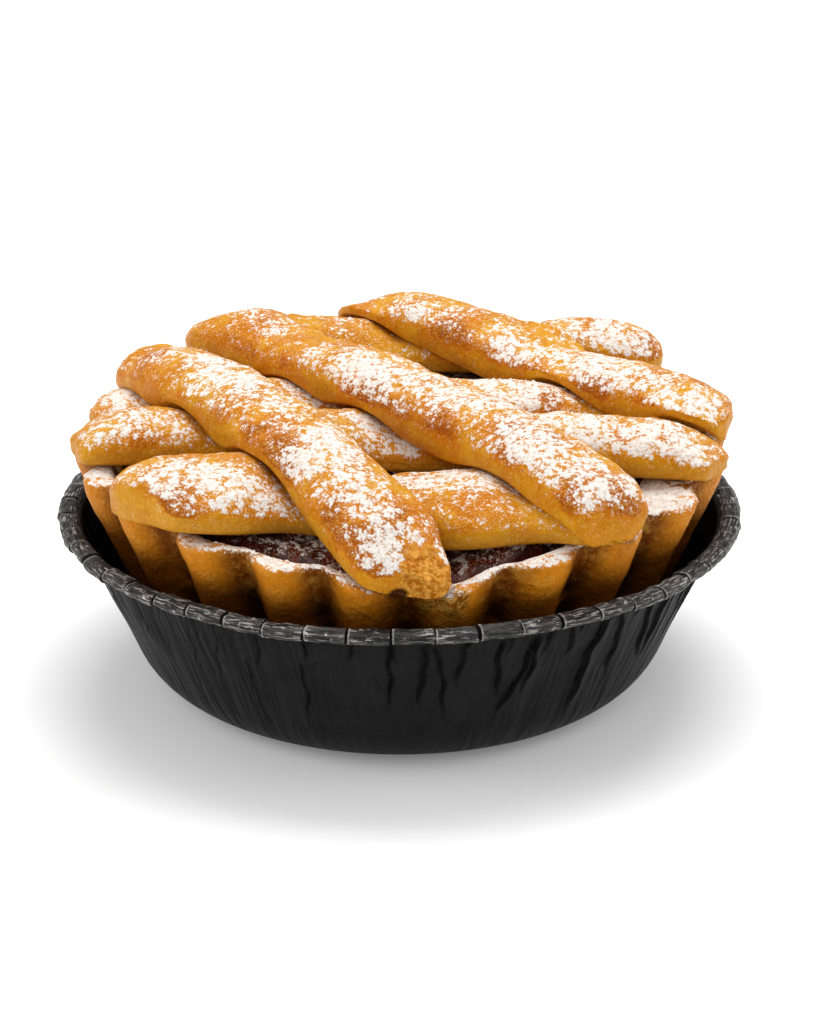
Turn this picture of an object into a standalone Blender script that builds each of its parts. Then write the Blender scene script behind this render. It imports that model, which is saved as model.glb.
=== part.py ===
"""A small fruit tart with a woven pastry lattice, standing in a pleated black baking case.

Metres, +Z up. The case stands on z = 0 with its axis on Z, and the front of the tart faces -Y.
A bearing is an angle about Z, counted from the front towards +X.
"""

import math

import bpy
import numpy as np
from mathutils import Vector, noise

MM = 0.001
GAP = 0.3 * MM  # air kept between pieces that touch in the real tart

# The case: a pressed paper cup with a rolled rim
CASE_HEIGHT = 31.7 * MM
FLOOR_RADIUS = 33.6 * MM
CORNER_RADIUS = 14.0 * MM
WALL_LEAN = math.radians(23.7)
PAPER = 0.6 * MM
BEAD_WIDTH = 3.6 * MM
BEAD_DEPTH = 2.6 * MM
BEAD_REACH = 2.1 * MM  # from the wall's inner face out to the middle of the bead
PLEATS = 52
PLEAT_BEARING = math.radians(-77.46)
PLEAT_PINCH = 0.84

# The crust: a fluted cup, pressed down at the front where the first strip ends
FLUTES = 22
FLUTE_BEARING = math.radians(-5.7)
FLUTE_DEPTH = 4.2 * MM
CRUST_BASE_RADIUS = 38.1 * MM
CRUST_LEAN = math.radians(24.2)
CRUST_TURN = 40 * MM  # above this the wall stands up straighter
CRUST_UPPER_LEAN = math.radians(11)
CRUST_WALL = 4.2 * MM
CRUST_FLOOR = 4.0 * MM
RIM_HEIGHT = 43.5 * MM
RIM_TILT = 3.3 * MM
RIM_DIP = 5.2 * MM
RIM_DIP_BEARING = math.radians(5)
RIM_DIP_SPREAD = math.radians(15)

# The filling, domed a little and lower than the rim
FILLING_HEIGHT = 43.0 * MM
FILLING_TILT = 0.03
FILLING_EDGE_DROP = 4.0 * MM

# The lattice. Each strip: (start x, start y), (end x, end y), sideways bow, width and thickness, in mm,
# then the share of its thickness that is pressed away at its start and at its end
LOWER_STRIPS = [
    ((-50, -36), (38, -40), 8.5, 24, 9.2, 0.15, 0.1),
    ((-57, -8), (57, -16.5), 5.5, 16, 8.2, 0.4, 0.4),
    ((-54, 9.5), (58.5, 5.5), 2, 15, 6.4, 0.4, 0.3),
    ((-34, 40), (48, 32.5), 1.5, 15.5, 7.8, 0.3, 0.25),
]
UPPER_STRIPS = [
    ((-46.5, 26), (4.5, -57.5), 0, 16.5, 8.3, 0.1, 0.6),
    ((-36, 41), (37, -46.5), 2, 16, 8.2, 0.6, 0.3),
    ((-9.5, 53.5), (56, -8), 1.5, 15, 6.6, 0.45, 0.35),
]
PINCH = 0.4  # of a lower strip's thickness, pressed away where an upper one crosses it
PINCH_REACH = 5 * MM
PINCH_FADE = 5.5 * MM
PINCH_NARROWS = 0.25  # of its width
DRAPE = 9 * MM  # how stiffly a strip bridges what it crosses
LOWER_TUCK = 0.35  # of a strip's thickness, how far its edges curl up from what it lies on
UPPER_TUCK = 0.18
SAG = 1.2 * MM  # how far an upper strip's belly sinks between the ones that it crosses
SIDE_SHARE = 0.36  # of a strip's thickness, the height of its flat sides
TIN_PLAY = 0.5 * MM  # how far a strip's end stands out from the crust under it
END_ROUND = 0.42  # of the strip's width
END_NOSE = 0.7  # of its thickness, lost in the rounded end
END_PRESS = 14 * MM
REACH = 2.4 * MM  # how far round a point a strip looks for what it must clear
THINNEST = 0.8 * MM
CUT_SLOPE = 0.12  # how little of a strip's end shows outside the cut

RELIEF = 0.35 * MM
RELIEF_SIZE = 7.0 * MM

MATERIALS = {
    "paper": ((0.020, 0.020, 0.021), 0.35),
    "crust": ((0.55, 0.27, 0.075), 0.75),
    "strip": ((0.62, 0.36, 0.11), 0.7),
    "fruit": ((0.055, 0.012, 0.014), 0.25),
}


def smooth_step(value):
    value = np.clip(value, 0, 1)
    return value * value * (3 - 2 * value)


def relief(x, y, z, seed):
    """Soft unevenness of baked dough, -1 to 1."""
    point = Vector((x, y, z)) / RELIEF_SIZE + Vector((seed * 7.3, seed * 3.1, 0))
    return noise.noise(point)


def point_at(radius, bearing, height):
    return (radius * math.sin(bearing), -radius * math.cos(bearing), height)


def flute_wave(bearing):
    """1 on a flute's ridge and 0 in its groove. The flutes aren't quite evenly spaced."""
    uneven = 0.9 * math.sin(3 * bearing + 1.0) + 0.8 * math.sin(7 * bearing + 2.2)
    turn = FLUTES * (bearing - FLUTE_BEARING) + math.radians(18) * uneven
    return (0.5 + 0.5 * math.cos(turn)) ** 0.7


def rim_height(bearing):
    level = RIM_HEIGHT - RIM_TILT * np.cos(bearing)
    off = (bearing - RIM_DIP_BEARING) / RIM_DIP_SPREAD
    return level - RIM_DIP * np.exp(-(off**2)) + 0.4 * MM * np.sin(5 * bearing + 0.7)


def crust_radius(height):
    """Radius of the flute ridges at this height."""
    lower = np.minimum(height, CRUST_TURN) * math.tan(CRUST_LEAN)
    return CRUST_BASE_RADIUS + lower + np.maximum(height - CRUST_TURN, 0) * math.tan(CRUST_UPPER_LEAN)


def filling_top(x, y):
    inside = np.hypot(x, y) / crust_radius(FILLING_HEIGHT)
    return FILLING_HEIGHT + FILLING_TILT * y - FILLING_EDGE_DROP * inside**4


def ground(x, y):
    """Height of what the lattice is laid on: the filling, then the crust's rim."""
    rim = rim_height(np.arctan2(x, -y))
    rim_inside = crust_radius(rim) - FLUTE_DEPTH / 2 - CRUST_WALL
    on_rim = smooth_step((np.hypot(x, y) - rim_inside + 2 * MM) / (2 * MM))
    filling = np.minimum(filling_top(x, y), rim - MM)
    return filling + (rim - filling) * on_rim


def mesh_object(name, points, faces, material):
    mesh = bpy.data.meshes.new(name)
    mesh.from_pydata(points, [], faces)
    mesh.shade_smooth()
    mesh.materials.append(material)
    piece = bpy.data.objects.new(name, mesh)
    bpy.context.scene.collection.children["fruit_tart"].objects.link(piece)
    return piece


def loft(name, rings, first_tip, last_tip, material):
    """A closed skin over rings with the same number of points, closed by a tip at each end."""
    count = len(rings[0])
    points = [first_tip] + [point for ring in rings for point in ring] + [last_tip]
    last = len(points) - 1
    faces = []
    for side in range(count):
        after = (side + 1) % count
        faces.append((0, 1 + side, 1 + after))
        for ring in range(len(rings) - 1):
            here = 1 + ring * count
            there = here + count
            faces.append((here + side, there + side, there + after, here + after))
        faces.append((last, last - count + after, last - count + side))
    return mesh_object(name, points, faces, material)


def make_material(name):
    colour, roughness = MATERIALS[name]
    material = bpy.data.materials.new(name)
    material.use_nodes = True
    shader = material.node_tree.nodes["Principled BSDF"]
    shader.inputs["Base Color"].default_value = (*colour, 1)
    shader.inputs["Roughness"].default_value = roughness
    return material


def case_profile():
    """Half section of the case, from the middle of its inner floor round the bead to the underside."""
    wall_foot = math.pi / 2 - WALL_LEAN
    bead_height = CASE_HEIGHT - BEAD_DEPTH / 2

    def corner(radius):
        turns = np.linspace(0, wall_foot, 5)
        return [
            (FLOOR_RADIUS + radius * math.sin(turn), CORNER_RADIUS - radius * math.cos(turn))
            for turn in turns
        ]

    inner = corner(CORNER_RADIUS - PAPER)
    outer = corner(CORNER_RADIUS)
    foot_radius, foot_height = inner[-1]
    wall_top = foot_radius + (bead_height - foot_height) * math.tan(WALL_LEAN)
    bead_middle = wall_top + BEAD_REACH
    bead = [
        (
            bead_middle + BEAD_WIDTH / 2 * math.cos(turn),
            bead_height + BEAD_DEPTH / 2 * math.sin(turn),
        )
        for turn in np.radians(np.linspace(125, -140, 8))
    ]
    rise = [(wall_top, bead_height)]
    return [(0, PAPER)] + inner + rise + bead + outer[::-1] + [(0, 0)]


def make_case(material):
    """The profile turned about Z, with the bead nipped in at every pleat."""
    profile = case_profile()
    points = [(radius, 0, height) for radius, height in profile]
    edges = [(index, index + 1) for index in range(len(points) - 1)]
    mesh = bpy.data.meshes.new("case_profile")
    mesh.from_pydata(points, edges, [])
    turned = bpy.data.objects.new("case_profile", mesh)
    bpy.context.scene.collection.objects.link(turned)
    screw = turned.modifiers.new("turn", "SCREW")
    screw.axis = "Z"
    screw.steps = screw.render_steps = 2 * PLEATS
    screw.use_merge_vertices = True
    screw.merge_threshold = 0.01 * MM
    graph = bpy.context.evaluated_depsgraph_get()
    cup = bpy.data.meshes.new_from_object(turned.evaluated_get(graph))
    bpy.data.objects.remove(turned)

    bead_height = CASE_HEIGHT - BEAD_DEPTH / 2
    bead_middle = max(radius for radius, height in profile) - BEAD_WIDTH / 2
    pitch = 2 * math.pi / PLEATS
    for vertex in cup.vertices:
        radius = math.hypot(vertex.co.x, vertex.co.y)
        out = radius - bead_middle
        up = vertex.co.z - bead_height
        on_pleat = abs(math.remainder(math.atan2(vertex.co.y, vertex.co.x), pitch)) < pitch / 8
        if on_pleat and math.hypot(out, up) < BEAD_WIDTH * 0.55:
            narrowed = (bead_middle + out * PLEAT_PINCH) / radius
            vertex.co.x *= narrowed
            vertex.co.y *= narrowed
            vertex.co.z = bead_height + up * PLEAT_PINCH
    cup.name = "baking_case"
    cup.shade_smooth()
    cup.materials.append(material)
    case = bpy.data.objects.new("baking_case", cup)
    case.rotation_euler.z = PLEAT_BEARING - math.pi / 2
    bpy.context.scene.collection.children["fruit_tart"].objects.link(case)


def crust_ring(depth_share, height_of, relief_size, inset=0.0):
    """One ring of the crust. depth_share 1 follows the flutes, 0 is round inside them."""
    ring = []
    for step in range(6 * FLUTES):
        bearing = 2 * math.pi * step / (6 * FLUTES)
        height = height_of(math.remainder(bearing, 2 * math.pi))
        wave = 1 - depth_share + depth_share * flute_wave(bearing)
        radius = crust_radius(height) - inset - FLUTE_DEPTH * (1 - wave)
        x, y, _ = point_at(radius, bearing, height)
        radius += relief_size * relief(x, y, height, 1)
        ring.append(point_at(radius, bearing, height))
    return ring


def make_crust(material):
    """A fluted cup: inner floor, inner wall, rounded rim, fluted outer wall, underside."""
    base = PAPER + GAP
    inner_floor = base + CRUST_FLOOR
    inside = CRUST_WALL + FLUTE_DEPTH / 2

    def level(height):
        return lambda bearing: height

    def below_rim(drop):
        return lambda bearing: float(rim_height(bearing)) - drop

    def share_of_rim(share):
        return lambda bearing: base + share * (float(rim_height(bearing)) - base)

    rings = [
        crust_ring(0, level(inner_floor), 0, inside + 2 * MM),
        crust_ring(0, level(inner_floor + 2 * MM), 0, inside),
        crust_ring(0, below_rim(1.6 * MM), 0, inside),
        crust_ring(0.3, below_rim(0.3 * MM), 0, inside - 1.0 * MM),
        crust_ring(0.8, below_rim(0.2 * MM), 0, 1.2 * MM),
        crust_ring(1, below_rim(1.3 * MM), RELIEF, 0),
    ]
    for share in (0.84, 0.66, 0.46, 0.26, 0.08):
        rings.append(crust_ring(1, share_of_rim(share), RELIEF, 0))
    rings.append(crust_ring(0.8, level(base), 0, 3.2 * MM))
    loft("tart_shell", rings, (0, 0, inner_floor), (0, 0, base), material)


def make_filling(material):
    """The fruit inside the cup, up to the level that shows between the strips."""
    count = 3 * FLUTES
    bearings = [2 * math.pi * step / count for step in range(count)]
    floor = PAPER + 2 * GAP + CRUST_FLOOR
    inset = CRUST_WALL + FLUTE_DEPTH / 2 + 2 * GAP

    def top_point(radius, bearing):
        x, y, _ = point_at(radius, bearing, 0)
        rim = float(rim_height(math.remainder(bearing, 2 * math.pi)))
        height = min(float(filling_top(x, y)), rim - MM) - GAP - RELIEF
        return (x, y, height + RELIEF * relief(x, y, 0, 2))

    def top_ring(share):
        ring = []
        for bearing in bearings:
            edge = crust_radius(FILLING_HEIGHT - FILLING_EDGE_DROP) - inset
            edge = crust_radius(top_point(edge, bearing)[2]) - inset - RELIEF
            ring.append(top_point(share * edge, bearing))
        return ring

    wall_foot = crust_radius(floor + 2 * MM) - inset
    rings = [top_ring(share) for share in (0.2, 0.4, 0.6, 0.8, 1.0)]
    rings.append([point_at(wall_foot, bearing, floor + 2 * MM) for bearing in bearings])
    rings.append([point_at(wall_foot - 2.5 * MM, bearing, floor) for bearing in bearings])
    loft("filling", rings, top_point(0, 0), (0, 0, floor), material)


class StripPlan:
    """Where a strip runs, seen from above: a line from start to end with a sideways bow."""

    def __init__(self, start, end, bow, width):
        self.start = np.array(start) * MM
        run = np.array(end) * MM - self.start
        self.length = np.hypot(*run)
        self.along = run / self.length
        self.across = np.array((-self.along[1], self.along[0]))
        self.bow = bow * MM
        self.width = width * MM

    def bend(self, run):
        return self.bow * 4 * (run / self.length) * (1 - run / self.length)

    def point(self, run, offset):
        spot = self.start + np.multiply.outer(run, self.along)
        return spot + np.multiply.outer(offset + self.bend(run), self.across)

    def locate(self, x, y):
        """Distance along the strip and sideways from its middle."""
        spot = np.stack([x, y], axis=-1) - self.start
        run = spot @ self.along
        return run, spot @ self.across - self.bend(run)


def pinch_at(x, y):
    """1 where an upper strip presses on the ones under it, 0 away from it."""
    nearest = np.full(np.shape(x), np.inf)
    for plan in UPPER_STRIPS:
        _, offset = StripPlan(*plan[:4]).locate(x, y)
        nearest = np.minimum(nearest, np.abs(offset))
    return 1 - smooth_step((nearest - PINCH_REACH) / PINCH_FADE)


class Strip:
    """A ribbon of dough draped over the surface that lower(x, y) gives."""

    STATIONS = 30
    SIDES = 12

    def __init__(self, values, lower, seed, woven):
        """woven is 0 for a strip that lies underneath and 1 for one that crosses over."""
        *plan, thickness, start_press, end_press = values
        self.plan = StripPlan(*plan)
        self.lower = lower
        self.seed = seed
        self.tuck = LOWER_TUCK + (UPPER_TUCK - LOWER_TUCK) * woven
        self.sag = SAG * woven
        self.run = self.stations()
        from_end = self.plan.length - self.run
        to_end = np.minimum(self.run, from_end)
        rounding = 1 - (1 - to_end / (END_ROUND * self.plan.width)).clip(0) ** 2
        rounding = np.sqrt(rounding)
        uneven = np.array([noise.noise(Vector((run / (14 * MM), seed * 5.7, 0))) for run in self.run])
        pinch = pinch_at(*self.plan.point(self.run, 0 * self.run).T) * (1 - woven)
        self.half_width = self.plan.width / 2 * (1 + 0.14 * uneven - PINCH_NARROWS * pinch) * rounding
        self.thickness = thickness * MM * (1 - END_NOSE * (1 - rounding)) * (1 - PINCH * pinch)
        for press, distance in ((start_press, self.run), (end_press, from_end)):
            self.thickness *= 1 - press * (1 - smooth_step(distance / END_PRESS))
        self.base = self.draped_base()

    def stations(self):
        """Distances along the strip, closer together in the rounded ends."""
        length = self.plan.length
        round_end = END_ROUND * self.plan.width
        ends = round_end * np.array([0.06, 0.3, 0.65])
        middle = np.linspace(1.1 * round_end, length - 1.1 * round_end, self.STATIONS - 6)
        return np.concatenate([ends, middle, (length - ends)[::-1]])

    def draped_base(self):
        """The height that the strip lies at: the highest point under it, smoothed along its run."""
        offsets = np.linspace(-0.55, 0.55, 5) * self.plan.width / 2
        under = [self.lower(*self.plan.point(self.run, np.full_like(self.run, off)).T) for off in offsets]
        highest = np.max(under, axis=0)
        apart = (self.run[:, None] - self.run[None, :]) / DRAPE
        weight = np.exp(-(apart**2) / 2)
        bridged = (weight @ highest) / weight.sum(axis=1)
        to_end = np.minimum(self.run, self.plan.length - self.run)
        settled = 1 - smooth_step(to_end / END_PRESS)
        return bridged + settled * np.minimum(highest - bridged, 0) + GAP

    def highest_near(self, x, y):
        """The highest point under the strip within reach, so that its flat facets clear what they span."""
        steps_x = x + REACH * np.array([0, 1, -1, 0, 0])
        steps_y = y + REACH * np.array([0, 0, 0, 1, -1])
        return float(self.lower(steps_x, steps_y).max())

    def top_height(self, x, y):
        """Height of the upper face above (x, y), or minus infinity beside the strip."""
        run, offset = self.plan.locate(x, y)
        share = np.abs(offset) / np.interp(run, self.run, self.half_width)
        base = np.interp(run, self.run, self.base)
        thickness = np.interp(run, self.run, self.thickness)
        dome = np.sqrt(np.clip(1 - share**2.4, 0, 1))
        inside = (share < 1) & (run > 0) & (run < self.plan.length)
        return np.where(inside, base + thickness * (SIDE_SHARE + (1 - SIDE_SHARE) * dome), -np.inf)

    def ring(self, index):
        """The section at one station: a domed top, and a belly that settles on what is under it."""
        base = self.base[index]
        thickness = self.thickness[index]
        points = []
        for side in range(self.SIDES):
            turn = -2 * math.pi * (side + 0.5) / self.SIDES
            share = math.copysign(abs(math.cos(turn)) ** 0.85, math.cos(turn))
            dome = math.sqrt(1 - abs(share) ** 2.4)
            x, y = self.plan.point(self.run[index], share * self.half_width[index])
            clear = self.highest_near(x, y) + GAP + RELIEF
            if math.sin(turn) > 0:
                height = base + thickness * (SIDE_SHARE + (1 - SIDE_SHARE) * dome)
                height = max(height + RELIEF * relief(x, y, 0, self.seed), clear + THINNEST)
            else:
                height = max(clear, base + self.tuck * thickness * (1 - dome) - self.sag)
            points.append(cut_by_tin(x, y, height))
        return points

    def build(self, name, material):
        rings = [self.ring(index) for index in range(len(self.run))]
        tips = [tuple(np.mean(ring, axis=0)) for ring in (rings[0], rings[-1])]
        loft(name, rings, tips[0], tips[1], material)


def cut_by_tin(x, y, height):
    """Draws in a point that lies outside the tin, whose fluted edge cut the strips off."""
    bearing = math.atan2(x, -y)
    radius = math.hypot(x, y)
    edge = crust_radius(height) + TIN_PLAY - FLUTE_DEPTH / 2 * (1 - flute_wave(bearing))
    if radius > edge:
        drawn_in = (edge + CUT_SLOPE * (radius - edge)) / radius
        x *= drawn_in
        y *= drawn_in
    return (x, y, height)


def make_lattice(material):
    """The lower strips lie on the filling and the rim, and the upper ones across them."""
    lower = [Strip(values, ground, 3 + n, 0) for n, values in enumerate(LOWER_STRIPS)]

    def woven_ground(x, y):
        return np.max([ground(x, y)] + [strip.top_height(x, y) for strip in lower], axis=0)

    upper = [Strip(values, woven_ground, 8 + n, 1) for n, values in enumerate(UPPER_STRIPS)]
    for number, strip in enumerate(lower, 1):
        strip.build(f"lower_strip_{number}", material)
    for number, strip in enumerate(upper, 1):
        strip.build(f"upper_strip_{number}", material)


for leftover in list(bpy.data.objects):
    bpy.data.objects.remove(leftover)
tart = bpy.data.collections.new("fruit_tart")
bpy.context.scene.collection.children.link(tart)
make_case(make_material("paper"))
make_crust(make_material("crust"))
make_filling(make_material("fruit"))
make_lattice(make_material("strip"))
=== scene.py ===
"""A lattice fruit tart under icing sugar, in its pleated black paper case.

The file follows the tart as it is put together: case, crust, fruit, lower strips, upper strips, sugar.
Metres, +Z up. A bearing is an angle about Z from the front (-Y) towards +X.
"""

import math

import bmesh
import bpy
import numpy as np
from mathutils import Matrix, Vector, noise


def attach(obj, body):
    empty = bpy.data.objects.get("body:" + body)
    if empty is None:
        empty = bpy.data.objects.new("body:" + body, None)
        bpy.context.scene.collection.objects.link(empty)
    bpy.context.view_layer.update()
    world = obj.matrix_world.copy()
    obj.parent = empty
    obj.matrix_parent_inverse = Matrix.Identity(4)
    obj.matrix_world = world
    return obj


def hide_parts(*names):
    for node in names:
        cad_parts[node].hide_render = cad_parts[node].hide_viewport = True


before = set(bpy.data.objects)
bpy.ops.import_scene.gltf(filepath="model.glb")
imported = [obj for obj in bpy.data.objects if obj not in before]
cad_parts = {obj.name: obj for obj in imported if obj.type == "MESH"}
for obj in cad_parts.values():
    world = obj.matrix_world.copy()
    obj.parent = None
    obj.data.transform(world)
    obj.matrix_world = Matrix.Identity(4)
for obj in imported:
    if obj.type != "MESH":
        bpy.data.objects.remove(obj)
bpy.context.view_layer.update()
MM = 0.001

# The baking case: black lacquered paper pressed into a shallow cup. Its wall is gathered in folds that
# start under the rim and die out towards the foot, because the paper was a flat disc.
CASE_FLOOR = 33.6 * MM
CASE_CORNER = 14.0 * MM
CASE_LEAN = math.radians(23.7)
CASE_HEIGHT = 31.7 * MM
PAPER = 0.6 * MM
CASE_MIDDLE = 52 * MM  # the radius at which lengths round the tart are measured
BEAD_WIDTH, BEAD_DEPTH, BEAD_REACH = 3.6 * MM, 2.6 * MM, 2.1 * MM
PLEATS = 52
FIRST_PLEAT = math.radians(-77.46)
# Long folds as the photograph shows them: bearing and height at the top, bearing and height at the foot,
# and depth, in degrees and mm
LONG_FOLDS = [
    (-51, 29, -55, 12, 0.5), (-46, 29, -49, 15, 0.4), (-39, 28, -43, 10, 0.5), (-33, 29, -36, 14, 0.35),
    (-25.2, 28, -25.5, 19, 0.4), (-29, 22, -27, 6, 0.45), (-16.5, 28.5, -16.3, 23, 0.6),
    (-17.2, 23, -18.2, 8, 0.5), (-8.5, 28, -8.0, 24, 0.4), (-1.1, 28, -2.2, 13, 0.45),
    (4.3, 28, 4.0, 12, 0.4), (6.2, 28, 9.5, 9, 0.45), (10.9, 28, 10.6, 17, 0.35),
    (17.5, 28, 18.2, 13, 0.5), (24.7, 28, 18.5, 8, 0.6), (24.5, 27, 23.0, 14, 0.45),
    (30.9, 28, 31.1, 21, 0.35), (37.5, 28, 36, 6, 0.8), (41.5, 28, 45, 12, 0.4), (48.7, 28, 54, 13, 0.45),
]
SHORT_FOLD_TOP = 29.5  # mm
LONG_FOLD_WIDTH, SHORT_FOLD_WIDTH = 2.2 * MM, 1.6 * MM


def smooth_step(low, high, value):
    share = np.clip((value - low) / (high - low), 0, 1)
    return share * share * (3 - 2 * share)


def unevenness(points, size, seed=0, depth=1):
    """Soft noise, about -1 to 1, with lumps of this size in metres."""
    shift = Vector((seed * 7.31, seed * 3.17, seed * 1.93))
    rows = points.reshape(-1, 3).tolist()
    found = [noise.fractal(Vector(row) / size + shift, 1.0, 2.0, depth) for row in rows]
    return np.array(found).reshape(points.shape[:-1])


def ring_mesh(name, rings):
    """A skin over rings of points, given as an array (ring, point, 3), with a fan over each end."""
    count, around = rings.shape[:2]
    points = list(map(tuple, rings.reshape(-1, 3)))
    here = np.arange(count - 1)[:, None] * around + np.arange(around)
    after = np.arange(count - 1)[:, None] * around + (np.arange(around) + 1) % around
    faces = np.stack([here, here + around, after + around, after], -1).reshape(-1, 4).tolist()
    for ring in (0, count - 1):
        tip = len(points)
        points.append(tuple(rings[ring].mean(axis=0)))
        for side in range(around):
            pair = (ring * around + side, ring * around + (side + 1) % around)
            faces.append((tip, *pair) if ring == 0 else (tip, *pair[::-1]))
    mesh = bpy.data.meshes.new(name)
    mesh.from_pydata(points, [], faces)
    form = bmesh.new()
    form.from_mesh(mesh)
    bmesh.ops.recalc_face_normals(form, faces=form.faces)
    form.to_mesh(mesh)
    form.free()
    mesh.shade_smooth()
    return mesh


def add_piece(name, mesh):
    piece = bpy.data.objects.new(name, mesh)
    bpy.context.scene.collection.objects.link(piece)
    return piece


def paint(mesh, name, values):
    """Keeps one number for each point, for the materials to read."""
    layer = mesh.attributes.get(name) or mesh.attributes.new(name, "FLOAT", "POINT")
    layer.data.foreach_set("value", np.asarray(values, np.float32).ravel())


def points_of(mesh):
    found = np.empty(len(mesh.vertices) * 3, np.float32)
    mesh.vertices.foreach_get("co", found)
    return found.reshape(-1, 3).astype(float)


def normals_of(mesh):
    found = np.empty(len(mesh.vertices) * 3, np.float32)
    mesh.vertices.foreach_get("normal", found)
    return found.reshape(-1, 3).astype(float)


def move_points(mesh, points):
    mesh.vertices.foreach_set("co", points.astype(np.float32).ravel())
    mesh.update()


class Amount:
    """A number that changes over a surface: a socket of a material, written in sums."""

    def __init__(self, finish, socket):
        self.finish = finish
        self.socket = socket

    def sum(self, operation, *others, swap=False):
        values = [self, *others]
        if swap:
            values.reverse()
        made = self.finish.add("Math", {"operation": operation}, dict(enumerate(values)))
        return Amount(self.finish, made.outputs[0])

    def __add__(self, other):
        return self.sum("ADD", other)

    def __sub__(self, other):
        return self.sum("SUBTRACT", other)

    def __rsub__(self, other):
        return self.sum("SUBTRACT", other, swap=True)

    def __mul__(self, other):
        return self.sum("MULTIPLY", other)

    __radd__ = __add__
    __rmul__ = __mul__

    def most(self, other):
        return self.sum("MAXIMUM", other)

    def between(self, low, high):
        """0 at low, 1 at high, with a soft passage."""
        settings = {"interpolation_type": "SMOOTHSTEP"}
        made = self.finish.add("MapRange", settings, {"Value": self, "From Min": low, "From Max": high})
        return Amount(self.finish, made.outputs[0])


class Finish:
    """A material of this tart, built up on one Principled shader."""

    GRAIN_FALL = 1.15  # how fast a grain falls off from its middle

    def __init__(self, name, **constants):
        self.material = bpy.data.materials.new(name)
        self.material.use_nodes = True
        self.nodes = self.material.node_tree.nodes
        self.links = self.material.node_tree.links
        self.shader = self.nodes["Principled BSDF"]
        self.place = self.add("TexCoord").outputs["Object"]
        self.set(**constants)

    def add(self, kind, settings=None, values=None):
        node = self.nodes.new("ShaderNode" + kind)
        for name, setting in (settings or {}).items():
            setattr(node, name, setting)
        for name, value in (values or {}).items():
            self.feed(node.inputs[name], value)
        return node

    def feed(self, socket, value):
        value = getattr(value, "socket", value)
        if isinstance(value, bpy.types.NodeSocket):
            self.links.new(value, socket)
        else:
            socket.default_value = value

    def set(self, **values):
        for name, value in values.items():
            self.feed(self.shader.inputs[name.replace("_", " ")], value)

    def painted(self, name):
        made = self.add("Attribute", {"attribute_name": name})
        return Amount(self, made.outputs["Fac"])

    def lumps(self, size, detail=2.0, rough=0.5, place=None):
        """Noise from 0 to 1 with lumps of about this size."""
        values = {"Vector": place or self.place, "Scale": 1 / size, "Detail": detail, "Roughness": rough}
        return Amount(self, self.add("TexNoise", None, values).outputs["Fac"])

    def grains(self, size):
        """1 in the middle of grains of about this size, 0 where they meet."""
        values = {"Vector": self.place, "Scale": 1 / size}
        apart = Amount(self, self.add("TexVoronoi", None, values).outputs["Distance"])
        return (1.0 - apart * self.GRAIN_FALL).most(0.0)

    def round_axis(self, around, up):
        """A place for lumps of this width round the tart's axis and this height."""
        flat = self.add("SeparateXYZ", None, {"Vector": self.place}).outputs
        turn = self.add("Math", {"operation": "ARCTAN2"}, {0: flat[0], 1: flat[1]}).outputs[0]
        along = Amount(self, turn) * (CASE_MIDDLE / around)
        values = {"X": along, "Y": Amount(self, flat[2]) * (1 / up)}
        return self.add("CombineXYZ", None, values).outputs[0]

    def blend(self, share, first, second):
        """A colour between two colours."""
        node = self.add("Mix", {"data_type": "RGBA"})
        for index, value in ((0, share), (6, first), (7, second)):
            if isinstance(value, tuple):
                value = (*value, 1)
            self.feed(node.inputs[index], value)
        return node.outputs[2]

    def relief(self, *heights):
        """Bumps from pairs of height and depth in metres."""
        normal = None
        for height, depth in heights:
            values = {"Height": height, "Distance": depth}
            if normal is not None:
                values["Normal"] = normal
            normal = self.add("Bump", None, values).outputs[0]
        self.set(Normal=normal)


def case_wall(offset, rows):
    """Radius and height of the case's wall from the middle of the floor up, moved in by offset."""
    foot_turn = math.pi / 2 - CASE_LEAN
    corner = CASE_CORNER - offset
    top = CASE_HEIGHT - BEAD_DEPTH / 2
    turns = np.linspace(0, foot_turn, 12)
    radius = [0.35 * CASE_FLOOR, 0.7 * CASE_FLOOR] + list(CASE_FLOOR + corner * np.sin(turns))
    height = [offset, offset] + list(CASE_CORNER - corner * np.cos(turns))
    rise = np.linspace(height[-1], top, rows)[1:]
    radius += list(radius[-1] + (rise - height[-1]) * math.tan(CASE_LEAN))
    height += list(rise)
    return np.array(radius), np.array(height)


case_rng = np.random.default_rng(52)
folds = [
    (math.radians(top), high * MM, math.radians(foot), low * MM, depth * MM, LONG_FOLD_WIDTH)
    for top, high, foot, low, depth in LONG_FOLDS
]
# Every joint of the rim starts a short fold, and the sides and the back have long ones too
for step in range(PLEATS):
    top = FIRST_PLEAT + 2 * math.pi * step / PLEATS
    away = abs(math.remainder(top, 2 * math.pi)) > math.radians(50)
    for _ in range(3 if away else 1):
        start = top + case_rng.normal(0, 0.035 if away else 0.006)
        reach = case_rng.uniform(9, 21) if away else case_rng.uniform(2.5, 8)
        lean = case_rng.normal(0, 0.035)
        depth = case_rng.uniform(0.12, 0.42) * MM
        low = (SHORT_FOLD_TOP - reach) * MM
        folds.append((start, SHORT_FOLD_TOP * MM, start + lean, low, depth, SHORT_FOLD_WIDTH))


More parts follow.
